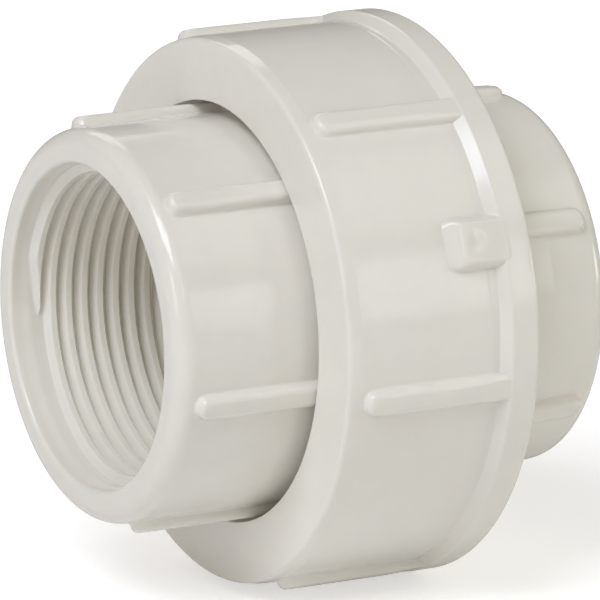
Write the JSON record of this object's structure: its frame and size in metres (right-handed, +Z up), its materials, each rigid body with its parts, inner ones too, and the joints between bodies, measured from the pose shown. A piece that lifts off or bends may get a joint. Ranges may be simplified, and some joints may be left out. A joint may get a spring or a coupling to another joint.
{
  "type": "union fitting",
  "caption": "Plastic pipe union for irrigation: two ribbed halves with female pipe threads, drawn together by a ribbed captive nut onto a face seal.",
  "frame": {"origin": "on the fitting's axis, halfway along its overall length with the nut tight", "axes": "+X along the axis from the tailpiece's mouth to the union body's mouth, +Z up"},
  "size_m": [0.064, 0.0738, 0.0738],
  "materials": {
    "tailpiece_plastic": "moulded, semi-gloss",
    "nut_plastic": "moulded, semi-gloss",
    "body_plastic": "moulded, semi-gloss",
    "seal_rubber": "moulded, satin"
  },
  "bodies": {
    "union_body": {"union_body": "body_plastic"},
    "o_ring": {"o_ring": "seal_rubber"},
    "tailpiece": {"tailpiece": "tailpiece_plastic"},
    "union_nut": {"union_nut": "nut_plastic"}
  },
  "joints": [
    {"name": "nut_travel", "type": "slide", "parent": "union_body", "child": "o_ring", "axis": [-1, 0, 0], "range_m": [0, 0.0135]},
    {"name": "nut_turn", "type": "hinge", "parent": "o_ring", "child": "union_nut", "pos_m": [0, 0, 0], "axis": [-1, 0, 0], "range_deg": [0, 1620]},
    {"name": "tailpiece_swivel", "type": "hinge", "parent": "o_ring", "child": "tailpiece", "pos_m": [-0.018, 0, 0], "axis": [1, 0, 0], "continuous": true}
  ],
  "couplings": [
    {"joint": "nut_turn", "follows": "nut_travel", "rad_per_m": 2094.4}
  ]
}
